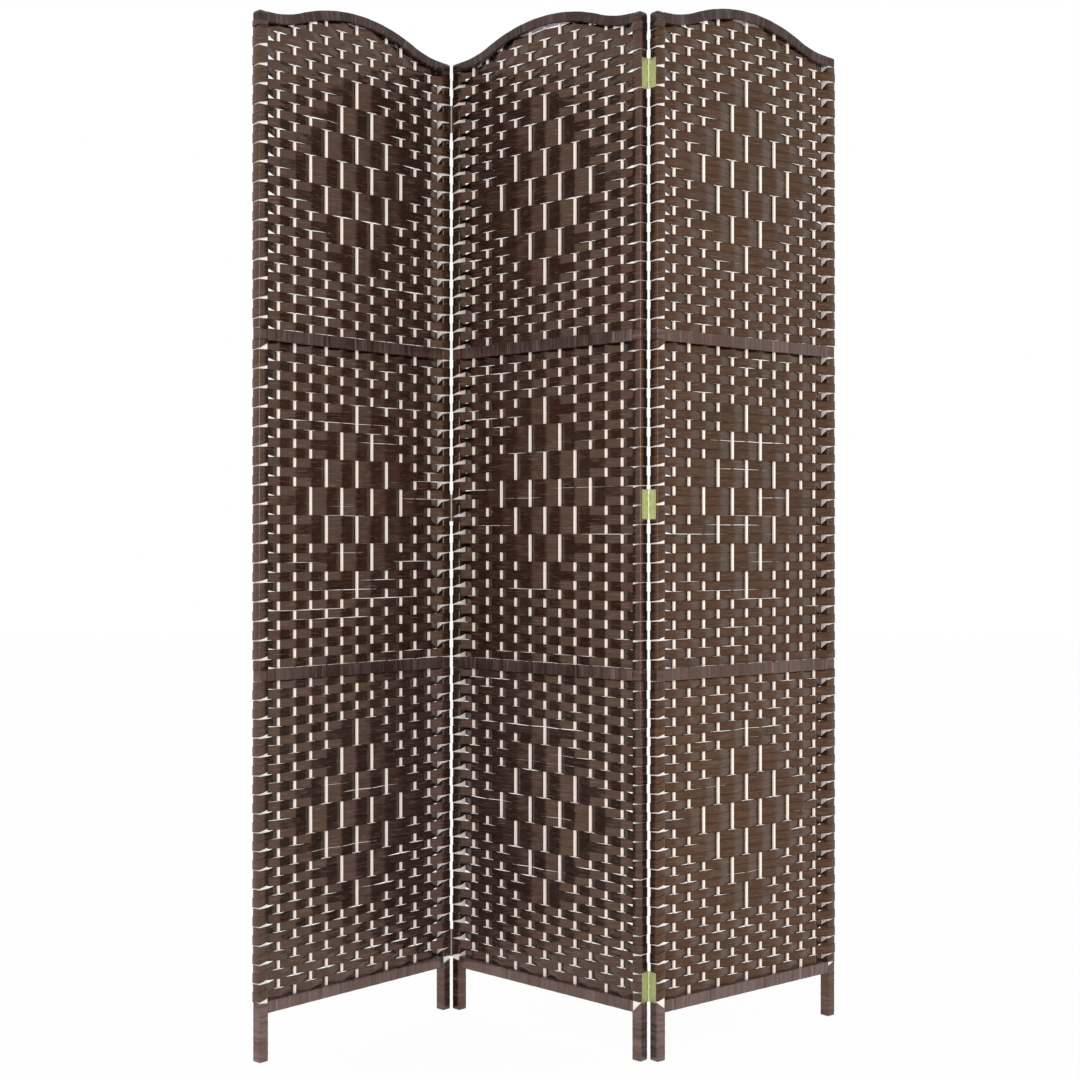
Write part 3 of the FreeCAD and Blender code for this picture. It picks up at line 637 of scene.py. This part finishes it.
def lay_ribbon(bm, stations, seed, dust):
    """Paper strip through a run of stations, with a tone that drifts along its length."""
    count = len(stations) - 1
    grid = bmesh.ops.create_grid(bm, x_segments=count, y_segments=ACROSS, size=GRID_HALF)
    verts = grid["verts"]
    lengths = [0.0]
    for before, after in zip(stations, stations[1:]):
        step = math.hypot(after.x - before.x, after.y - before.y)
        lengths.append(lengths[-1] + step + SAME_PLACE)
    tone = bm.verts.layers.float["tone"]
    seam_shade = bm.verts.layers.float["seam_shade"]
    spots = {}
    for vertex in verts:
        # The strip's edges are marked for the painted shade between rows
        vertex[seam_shade] = float(vertex.is_boundary)
        index = round((vertex.co.x + GRID_HALF) * count)
        share = vertex.co.y + GRID_HALF
        here = stations[index]
        before, after = stations[max(index - 1, 0)], stations[min(index + 1, count)]
        outward = Vector((after.y - before.y, before.x - after.x, 0)).normalized()
        length = lengths[index]
        height = here.high - here.low
        crumple = 0
        if INNER_LEFT + TURN_RADIUS < here.x < INNER_RIGHT - TURN_RADIUS:
            dent = Vector((length / CRUMPLE_LENGTH, share * CRUMPLES_ACROSS, seed))
            crumple = CRUMPLE * noise.noise(dent)
        depth = here.y + here.tuck * max((share - 1) * ACROSS + 1, 0)
        vertex.co = Vector((here.x, depth, here.low + height * share)) + outward * crumple
        drift = noise.noise(Vector((length / TONE_LENGTH, seed, TONE_SEED)))
        vertex[tone] = dust + TONE_SPREAD * drift
        spots[vertex] = (length, seed + share * height)
    map_faces(bm, verts, spots)
    for edge in {edge for vertex in verts for edge in vertex.link_edges}:
        edge.smooth = not edge.is_boundary


def make_weave(panel, section, paper):
    """Woven ribbon of one section, as thick as the paper."""
    bm = ribbon_mesh()
    weave = Weave(panel, section)
    for first_row, stations in weave.strips():
        lay_ribbon(bm, stations, weave.seed + first_row / ROWS_PER_SEED, weave.dust)
    node = f"{panel}_panel_{section}_weave"
    name = f"{panel}_{section}_woven_ribbon"
    piece = finish_piece(bm, name, panel, node, [paper])
    thick = piece.modifiers.new("paper_thickness", "SOLIDIFY")
    thick.thickness = PAPER
    thick.offset = 0
    return piece


# Ribbon wound round the rails, legs and stile tops

# Distance of a winding from the wood, the rise of each lap, and the radius of its corners
WINDING = 0.0010
LAP_LIFT = 0.0003
CORNER = 0.0013
CORNER_STEPS = 4
SIDE_STEPS = 4
# Length of a face along the winding, and the least number of them
WOUND_STEP = 0.0022
LEAST_STEPS = 4
# Fibre lines are broader on the stretched ribbon by this factor
WOUND_FIBRES = 2.5
# Tones differ by this much from lap to lap, at this step in the noise
LAP_TONE_SPREAD = 0.15
LAP_TONE_STEP = 1.7
LAP_TONE_SEED = 2
# Share of a lap that shows as its edge, and how pale the edges on the rails can be
LAP_EDGE_SHARE = 0.06
RAIL_WEAR = 0.8
ARCH_WEAR = 0.5
# Part of its section's area that a winding loses at a rounded end
ROUNDED_AWAY = 0.75
# Reach to either side over which the arch's slope is taken
SLOPE_REACH = 0.0005
# Height of one turn on a stile
STILE_LAP = 0.016
# The slant of a leg's last turn fades away below it by this power of the height
SLANT_POWER = 8
# The winding starts this far above the floor
FOOT_GAP = 0.001
# Height of the winding above a stile's top, and of its rounded end
STILE_CAP = 0.0012
TOP_ROUNDING = 0.005
# Depth of bare wood below the bottom rail's top, at the outer and inner side of the left leg and
# then of the right leg
BARE_DEPTHS = {
    "left": ((0.0, 0.002), (0.006, 0.012)),
    "centre": ((0.005, 0.007), (0.002, 0.018)),
    "right": ((0.001, 0.012), (0.0, 0.007)),
}
# Distance by which the winding over the left and right stile's top goes on under the first turns
TOP_COVERS = {"left": (0.012, 0.020), "centre": (0.0, 0.020), "right": (0.012, 0.0)}
# Places of the papers in a wound piece's list
SATIN = 0
DULL = 1
# Where the noise of each winding starts
RAIL_SEED_STEP = 3.0
ARCH_SEED = 11.0
STILE_SEED = 20.0

# A wound stretch of a stile. The slant is that of its last turn, and the round end is its top.
Band = namedtuple("Band", "low high dust slant round_end finish", defaults=(0, 0, SATIN))


def rounded_section(half_width, half_height):
    """Points and outward directions round a rectangle with rounded corners, ending at the first."""
    ring = []
    for quarter, (side_x, side_y) in enumerate(((1, 1), (-1, 1), (-1, -1), (1, -1))):
        pivot = Vector((side_x * (half_width - CORNER), side_y * (half_height - CORNER)))
        for step in range(CORNER_STEPS + 1):
            angle = math.pi / 2 * (quarter + step / CORNER_STEPS)
            outward = Vector((math.cos(angle), math.sin(angle)))
            ring.append((pivot + outward * CORNER, outward))
        following = math.pi / 2 * (quarter + 1)
        outward = Vector((math.cos(following), math.sin(following)))
        turned = Vector((-outward.y, outward.x))
        length = 2 * ((half_height if quarter % 2 else half_width) - CORNER)
        start = ring[-1][0]
        for step in range(1, SIDE_STEPS):
            ring.append((start + turned * length * step / SIDE_STEPS, outward))
    return ring + ring[:1]


def lap_shift(share):
    """Share of a turn that a lap's edge has moved on by: aslant on two faces, level on the others."""
    return min(2 * share, 0.5) + min(max(2 * share - 1, 0), 0.5)


def wind_ribbon(bm, path, length, half_width, half_height, lap_pitch, seed, dust,
                worn=0.0, round_end=0.0, finish=SATIN):
    """Sleeve of lapped turns along a path, closed at both ends.

    The path gives the middle, sideways and upward direction at a distance along it. Each turn
    rises by a lap's thickness and then steps down on to the next one.
    """
    ring = rounded_section(half_width + WINDING, half_height + WINDING)
    around = len(ring) - 1
    steps = max(round(length / WOUND_STEP), LEAST_STEPS)
    grid = bmesh.ops.create_grid(bm, x_segments=steps, y_segments=around, size=GRID_HALF)
    verts = grid["verts"]
    tone = bm.verts.layers.float["tone"]
    spots = {}
    for vertex in verts:
        distance = (vertex.co.x + GRID_HALF) * length
        share = vertex.co.y + GRID_HALF
        middle, sideways, upward = path(distance)
        point, outward = ring[round(share * around)]
        turn = distance / lap_pitch + lap_shift(share)
        section = point + outward * LAP_LIFT * (turn % 1)
        if round_end:
            near_end = max(1 - (length - distance) / round_end, 0)
            section *= math.sqrt(1 - ROUNDED_AWAY * near_end ** 2)
        vertex.co = middle + sideways * section.x + upward * section.y
        lap_tone = noise.cell(Vector((math.floor(turn) * LAP_TONE_STEP, seed, LAP_TONE_SEED)))
        edge_tone = worn * lap_tone if turn % 1 < LAP_EDGE_SHARE else 0
        vertex[tone] = dust + LAP_TONE_SPREAD * lap_tone + max(edge_tone, 0)
        spots[vertex] = (share * 4 * half_width, seed + distance / WOUND_FIBRES)
    map_faces(bm, verts, spots, finish)
    bmesh.ops.remove_doubles(bm, verts=verts, dist=SAME_PLACE)
    open_ends = [edge for edge in bm.edges if edge.is_boundary]
    bmesh.ops.holes_fill(bm, edges=open_ends, sides=0)


def along_rail(level):
    """Path of a straight rail, from the left stile."""
    def path(distance):
        return Vector((INNER_LEFT + distance, 0, level)), Vector((0, 1, 0)), Vector((0, 0, 1))
    return path


def along_arch(level):
    """Path of the arched rail, with its upward direction square to the wave."""
    def path(distance):
        x = INNER_LEFT + distance
        rise = wave_height(x + SLOPE_REACH, 0) - wave_height(x - SLOPE_REACH, 0)
        upward = Vector((-rise / (2 * SLOPE_REACH), 0, 1)).normalized()
        return Vector((x, 0, level + wave_height(x, 0))), Vector((0, 1, 0)), upward
    return path


def up_stile(x, low, length, slant):
    """Path up the middle of a stile, whose last turn can lie aslant."""
    def path(distance):
        sideways = Vector((1, 0, slant * (distance / length) ** SLANT_POWER))
        return Vector((x, 0, low + distance)), sideways, Vector((0, 1, 0))
    return path


def make_rail_wraps(panel, papers):
    """Ribbon wound round the four rails, one turn to each stake."""
    bm = ribbon_mesh()
    panel_seed = PANELS.index(panel)
    for number, rail in enumerate(("bottom_rail", "lower_rail", "upper_rail")):
        path = along_rail(rail_level(panel, rail))
        seed = RAIL_SEED_STEP * number + panel_seed
        wind_ribbon(bm, path, INNER_WIDTH, RAIL_DEPTH / 2, RAIL_HEIGHT / 2, STAKE_PITCH,
                    seed, PART_LIGHTNESS[rail], worn=RAIL_WEAR)
    path = along_arch(rail_level(panel, "arch_rail"))
    wind_ribbon(bm, path, INNER_WIDTH, RAIL_DEPTH / 2, ARCH_HEIGHT / 2, STAKE_PITCH,
                ARCH_SEED + panel_seed, PART_LIGHTNESS["arch_rail"], worn=ARCH_WEAR, finish=DULL)
    bmesh.ops.recalc_face_normals(bm, faces=bm.faces)
    node = f"{panel}_panel_rail_wraps"
    return finish_piece(bm, f"{panel}_rail_ribbon", panel, node, papers)


def stile_bands(panel, number):
    """Wound stretches of a panel's left or right stile, from the leg to the top."""
    outer_depth, inner_depth = BARE_DEPTHS[panel][number]
    slant = (inner_depth - outer_depth) / STILE * (-1, 1)[number]
    rail_top = rail_level(panel, "bottom_rail") + RAIL_HEIGHT / 2
    leg_top = rail_top - (inner_depth + outer_depth) / 2
    leg = Band(FOOT_GAP, leg_top, LEG_LIGHTNESS[panel][number], slant)
    cross_rails = ("lower_rail", "upper_rail")
    beside_rails = [Band(*rail_faces(panel, rail), PART_LIGHTNESS[rail]) for rail in cross_rails]
    top_low = Weave(panel, "upper").roof(INNER_LEFT) - TOP_COVERS[panel][number]
    top_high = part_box(f"{panel}_panel_left_stile")[1].z + STILE_CAP
    top = Band(top_low, top_high, PART_LIGHTNESS["arch_rail"], round_end=TOP_ROUNDING, finish=DULL)
    return [leg, *beside_rails, top]


def make_stile_wraps(panel, papers):
    """Ribbon wound round the legs, beside the cross rails, and over the stile tops."""
    bm = ribbon_mesh()
    for number, x in enumerate((STILE / 2, PANEL_WIDTH - STILE / 2)):
        seed = STILE_SEED + 2 * PANELS.index(panel) + number
        for band in stile_bands(panel, number):
            length = band.high - band.low
            path = up_stile(x, band.low, length, band.slant)
            wind_ribbon(bm, path, length, STILE / 2, STILE / 2, STILE_LAP, seed + band.low,
                        band.dust, round_end=band.round_end, finish=band.finish)
    bmesh.ops.recalc_face_normals(bm, faces=bm.faces)
    node = f"{panel}_panel_stile_wraps"
    return finish_piece(bm, f"{panel}_stile_ribbon", panel, node, papers)


# Stage, light and camera

WHITE = (1, 1, 1, 1)
FLOOR_COLOUR = "#f4f4f2"
FLOOR_HALF_WIDTH = 12
# Share of plain white in the floor as it is seen, which leaves a faint shadow
FLOOR_WHITENESS = 0.96
# Brightness of the surroundings where they light the screen, and where they are seen
ROOM_LIGHT = (0.95, 1.0)
# The fitted camera: the photograph's pixels, the sensor in millimetres, the place in metres
PHOTO_PIXELS = 1080
FOCAL_PIXELS = 1667
SHIFT_PIXELS = 60
SENSOR_WIDTH = 36
CAMERA_PLACE = (-0.1355, -2.9445, 0.8717)


def seen_rays(tree):
    """One for rays from the camera or from a glossy surface, and nothing for the others."""
    ray = add_node(tree, "ShaderNodeLightPath").outputs
    sockets = {0: ray["Is Camera Ray"], 1: ray["Is Glossy Ray"]}
    return add_node(tree, "ShaderNodeMath", sockets, operation="MAXIMUM").outputs["Value"]


def floor_material():
    """White as it is seen, with a trace of matte shading, and matte where it sends light back."""
    material, tree = new_material("studio_floor")
    white = add_node(tree, "ShaderNodeEmission", {"Color": WHITE, "Strength": 1.0})
    matte = add_node(tree, "ShaderNodeBsdfDiffuse", {"Color": colour(FLOOR_COLOUR)})
    whiteness = {0: seen_rays(tree), 1: FLOOR_WHITENESS}
    share = add_node(tree, "ShaderNodeMath", whiteness, operation="MULTIPLY").outputs["Value"]
    both = {0: share, 1: matte.outputs["BSDF"], 2: white.outputs["Emission"]}
    mix = add_node(tree, "ShaderNodeMixShader", both).outputs["Shader"]
    add_node(tree, "ShaderNodeOutputMaterial", {"Surface": mix})
    return material


def make_floor():
    """Plain pale floor that keeps a soft contact shadow."""
    bm = bmesh.new()
    bmesh.ops.create_grid(bm, x_segments=1, y_segments=1, size=FLOOR_HALF_WIDTH)
    mesh = bpy.data.meshes.new("studio_floor")
    bm.to_mesh(mesh)
    bm.free()
    mesh.materials.append(floor_material())
    floor = bpy.data.objects.new("studio_floor", mesh)
    bpy.context.scene.collection.objects.link(floor)


def make_world():
    """White surroundings: pure white to the camera, and an even soft light on the object."""
    world = bpy.data.worlds.new("studio")
    bpy.context.scene.world = world
    world.use_nodes = True
    tree = world.node_tree
    tree.nodes.clear()
    strength = remap(tree, seen_rays(tree), target=ROOM_LIGHT)
    light = add_node(tree, "ShaderNodeBackground", {"Color": WHITE, "Strength": strength})
    add_node(tree, "ShaderNodeOutputWorld", {"Surface": light.outputs["Background"]})


def add_soft_box(name, place, target, size, power):
    """Large square lamp that faces the screen."""
    lamp = bpy.data.lights.new(name, "AREA")
    lamp.shape = "SQUARE"
    lamp.size = size
    lamp.energy = power
    soft_box = bpy.data.objects.new(name, lamp)
    soft_box.location = place
    soft_box.rotation_euler = (Vector(target) - Vector(place)).to_track_quat("-Z", "Y").to_euler()
    bpy.context.scene.collection.objects.link(soft_box)


def make_camera():
    """Level camera at the photograph's viewing angle, its frame shifted to the right of its axis."""
    lens = bpy.data.cameras.new("photo_camera")
    lens.sensor_width = SENSOR_WIDTH
    lens.lens = SENSOR_WIDTH * FOCAL_PIXELS / PHOTO_PIXELS
    lens.shift_x = SHIFT_PIXELS / PHOTO_PIXELS
    camera = bpy.data.objects.new("photo_camera", lens)
    camera.location = CAMERA_PLACE
    camera.rotation_euler = (math.pi / 2, 0, 0)
    bpy.context.scene.collection.objects.link(camera)
    bpy.context.scene.camera = camera


# Build

satin_paper = kraft_paper("satin_kraft_paper", shine=1.0, sheen="#ffccb2", pale_tone="#675a5d")
dull_paper = kraft_paper("dull_kraft_paper", shine=0.5, sheen="#ffd6cb", pale_tone="#675a5d")
# Painted light: a paler, less glossy copy of the satin paper for the right panel's weave, which gets
# more light
lit_panel_paper = kraft_paper("right_panel_lit_kraft_paper", shine=0.64, sheen="#ffc8a2", pale_tone="#6e503d")
woven_papers = {"left": satin_paper, "centre": satin_paper, "right": lit_panel_paper}
wound_papers = [satin_paper, dull_paper]
frame_wood = pale_wood("bare_frame_pine", light="#fdf4f0", dark="#f2e6e0", grain_width=0.004)
stake_wood = pale_wood("bare_stake_wood", light="#fdf2e8", dark="#f4e6da", grain_width=0.002)
brass = worn_metal("plated_brass", clean="#d6d8ae", dull="#b2b890", roughness=0.4)
steel = worn_metal("zinc_plated_steel", clean="#d6d4cf", dull="#a9a7a2", roughness=0.3)
# Painted shade: a greyer, darker copy of the brass for the left hinges, which sit in the valley where
# shade falls
shaded_brass = worn_metal("valley_shaded_brass", clean="#b3a99c", dull="#8f877c", roughness=0.45)
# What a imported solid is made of, by the first of these that is in its name, or else frame wood
finishes = {"_screws": steel, "left_hinge_": shaded_brass, "right_hinge_": brass, "_stakes": stake_wood}

for panel in PANELS:
    for section in SECTIONS:
        make_weave(panel, section, woven_papers[panel])
    make_rail_wraps(panel, wound_papers)
    make_stile_wraps(panel, wound_papers)

for name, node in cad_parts.items():
    material = next((finishes[part] for part in finishes if part in name), frame_wood)
    node.data.materials.clear()
    node.data.materials.append(material)

make_floor()
make_world()
add_soft_box("front_soft_box", place=(0, -4.2, 1.4), target=(0, 0, 0.9), size=1.6, power=58)
make_camera()
bpy.context.scene.view_settings.view_transform = "Standard"
